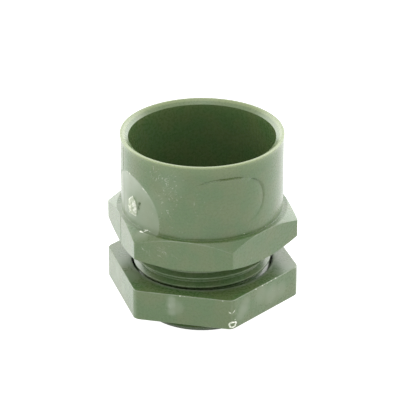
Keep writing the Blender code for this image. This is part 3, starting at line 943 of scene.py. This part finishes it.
def pvc():
    """Sage-green PVC: soft gloss, mottled olive and green, a painted glow at the thin rim where light shines
    through, and hazed in places, partly as painted highlight.
    """
    material, nodes, links, shader, own_place = new_material("pvc_sage")
    spread = noise_node(nodes, links, own_place, MOTTLE_SCALE, SKIN_DETAIL)
    mottle = ramp_node(nodes, links, spread, *MOTTLE_LIMITS, 0.0, 1.0)
    colour = mix_node(nodes, links, mottle, OLIVE, GREEN)
    axes = nodes.new("ShaderNodeSeparateXYZ")
    links.new(own_place, axes.inputs[0])
    # Painted glow: the base colour brightens towards the rim's top where light would shine through the thin
    # wall
    deep, near = (
        ramp_node(nodes, links, axes.outputs["Z"], (RIM_Z - depth) * MM, RIM_Z * MM, 0.0, strength)
        for depth, strength in RIM_GLOWS)
    colour = mix_node(nodes, links, math_node(nodes, links, "ADD", deep, near), colour, LIT_THROUGH)
    # Pale mix by the haze attribute: real haze plus painted highlights on the edges and spots
    haze_and_highlight = nodes.new("ShaderNodeAttribute")
    haze_and_highlight.attribute_name = "haze_and_highlight"
    clouds = noise_node(nodes, links, own_place, CLOUD_SCALE, SKIN_DETAIL)
    clouds = ramp_node(nodes, links, clouds, *CLOUD_LIMITS, *CLOUD_LEVELS)
    haze_and_highlight = math_node(nodes, links, "MULTIPLY", haze_and_highlight.outputs["Fac"], clouds)
    links.new(mix_node(nodes, links, haze_and_highlight, colour, HAZE_AND_HIGHLIGHT), shader.inputs["Base Color"])
    grain = noise_node(nodes, links, own_place, GRAIN_SCALE, SKIN_DETAIL)
    rough = ramp_node(nodes, links, grain, *GRAIN_LIMITS, *GRAIN_ROUGHNESS)
    rough = math_node(nodes, links, "MULTIPLY_ADD", haze_and_highlight, HAZE_ROUGHNESS, rough)
    links.new(rough, shader.inputs["Roughness"])
    shader.inputs["IOR"].default_value = PVC_INDEX
    shader.inputs["Coat Weight"].default_value = COAT_WEIGHT
    shader.inputs["Coat Roughness"].default_value = COAT_ROUGHNESS
    ripple = noise_node(nodes, links, own_place, RIPPLE_SCALE, RIPPLE_DETAIL)
    bump_node(nodes, links, shader, ripple, *RIPPLE_BUMP)
    return material


def worn_pvc(name, pale, dull, scale, roughness):
    """Whitened PVC where it was scratched or torn: pale and dull patches, and a rough skin."""
    material, nodes, links, shader, own_place = new_material(name)
    patches = noise_node(nodes, links, own_place, scale, WORN_DETAIL)
    patches = ramp_node(nodes, links, patches, *WORN_LIMITS, 0.0, 1.0)
    links.new(mix_node(nodes, links, patches, dull, pale), shader.inputs["Base Color"])
    skin = noise_node(nodes, links, own_place, 3 * scale, SKIN_DETAIL)
    bump_node(nodes, links, shader, skin, *WORN_BUMP)
    shader.inputs["Roughness"].default_value = roughness
    shader.inputs["IOR"].default_value = PVC_INDEX
    return material


def make_floor():
    """Plain pale floor, lit a little from below as a light table is."""
    mesh = bpy.data.meshes.new("floor")
    shape = bmesh.new()
    bmesh.ops.create_grid(shape, x_segments=1, y_segments=1, size=FLOOR_SIZE)
    shape.to_mesh(mesh)
    shape.free()
    floor = bpy.data.objects.new("floor", mesh)
    bpy.context.scene.collection.objects.link(floor)
    material, nodes, links, shader, own_place = new_material("pale_floor")
    shader.inputs["Base Color"].default_value = grey(FLOOR_ALBEDO)
    shader.inputs["Roughness"].default_value = FLOOR_ROUGHNESS
    shader.inputs["Emission Color"].default_value = grey(1.0)
    distance = nodes.new("ShaderNodeVectorMath")
    distance.operation = "LENGTH"
    links.new(own_place, distance.inputs[0])
    # Painted contact shadow: the floor's glow is weaker right under the object
    under = ramp_node(nodes, links, distance.outputs["Value"], *UNDER_REACH, UNDER_GLOW, FLOOR_GLOW)
    seen = nodes.new("ShaderNodeLightPath").outputs["Is Camera Ray"]
    glow = ramp_node(nodes, links, seen, 0.0, 1.0, under, FLOOR_SEEN)
    links.new(glow, shader.inputs["Emission Strength"])
    mesh.materials.append(material)


def make_world():
    """White tent whose panels and gaps round the object are those of the table above."""
    world = bpy.data.worlds.new("studio")
    bpy.context.scene.world = world
    world.use_nodes = True
    nodes, links = world.node_tree.nodes, world.node_tree.links
    direction = nodes.new("ShaderNodeSeparateXYZ")
    links.new(nodes.new("ShaderNodeTexCoord").outputs["Generated"], direction.inputs[0])
    x, y, z = direction.outputs
    sine, cosine = math.sin(math.radians(VIEW_AZIMUTH)), math.cos(math.radians(VIEW_AZIMUTH))
    rightward = math_node(
        nodes, links, "MULTIPLY_ADD", x, cosine, math_node(nodes, links, "MULTIPLY", y, sine))
    forward = math_node(
        nodes, links, "MULTIPLY_ADD", x, sine, math_node(nodes, links, "MULTIPLY", y, -cosine))
    angle = math_node(nodes, links, "ARCTAN2", rightward, forward)
    turn = math_node(nodes, links, "MULTIPLY_ADD", angle, 0.5 / math.pi, 0.5)
    rise = math_node(nodes, links, "MULTIPLY", math_node(nodes, links, "ARCSINE", z), 180 / math.pi)
    tent = None
    for elevation, sectors in TENT:
        band = nodes.new("ShaderNodeValToRGB")
        elements = band.color_ramp.elements
        band.color_ramp.interpolation = "CONSTANT"
        while len(elements) < len(sectors):
            elements.new(0.5)
        while len(elements) > len(sectors):
            elements.remove(elements[-1])
        for element, (azimuth, radiance) in zip(elements, sectors):
            element.position = azimuth / 360 + 0.5
            element.color = grey(radiance)
        links.new(turn, band.inputs["Fac"])
        above = band.outputs["Color"]
        if tent is None:
            tent = above
        else:
            low, high = elevation - BAND_SOFTNESS, elevation + BAND_SOFTNESS
            tent = ramp_node(nodes, links, rise, low, high, tent, above)
    seen = nodes.new("ShaderNodeLightPath").outputs["Is Camera Ray"]
    strength = ramp_node(nodes, links, seen, 0.0, 1.0, tent, 1.0)
    nodes["Background"].inputs["Color"].default_value = grey(1.0)
    links.new(strength, nodes["Background"].inputs["Strength"])


def make_camera():
    """Camera at the photograph's place."""
    azimuth, elevation = math.radians(VIEW_AZIMUTH), math.radians(VIEW_ELEVATION)
    level = math.cos(elevation)
    towards = Vector((math.sin(azimuth) * level, -math.cos(azimuth) * level, math.sin(elevation)))
    right = Vector((math.cos(azimuth), math.sin(azimuth), 0.0))
    aim = right * VIEW_AIM_RIGHT * MM + Vector((0.0, 0.0, VIEW_AIM_HEIGHT * MM))
    data = bpy.data.cameras.new("camera")
    data.sensor_width = SENSOR_WIDTH
    data.lens = VIEW_FOCAL_PIXELS / VIEW_SIDE_PIXELS * SENSOR_WIDTH
    camera = bpy.data.objects.new("camera", data)
    bpy.context.scene.collection.objects.link(camera)
    camera.location = aim + towards * VIEW_DISTANCE * MM
    camera.rotation_euler = (-towards).to_track_quat("-Z", "Y").to_euler()
    bpy.context.scene.camera = camera


def main():
    """Makes the pieces, the floor, the light and the camera."""
    plastic = pvc()
    scuffed = worn_pvc("pvc_scuffed", *SCUFFED)
    torn = worn_pvc("pvc_torn", *TORN)
    make_body(plastic)
    make_nut(plastic)
    stretches = (("body", "connector_body", SEAT_Z, RIM_Z + 1), ("nut", "locknut", NUT_BASE_Z, NUT_TOP_Z))
    for short, body, low, high in stretches:
        scratches = flecks_between(low, high, False) + strewn_flecks(low, high)
        make_flecks(f"{short}_scratches", body, scratches, scuffed)
        make_flecks(f"{short}_burrs", body, flecks_between(low, high, True), torn)
    make_stub("body_gate_stub", "connector_body", BODY_STUB, False, torn)
    make_stub("nut_gate_stub", "locknut", NUT_STUB, True, torn)
    make_floor()
    make_world()
    make_camera()
    bpy.context.scene.view_settings.view_transform = "Standard"


main()
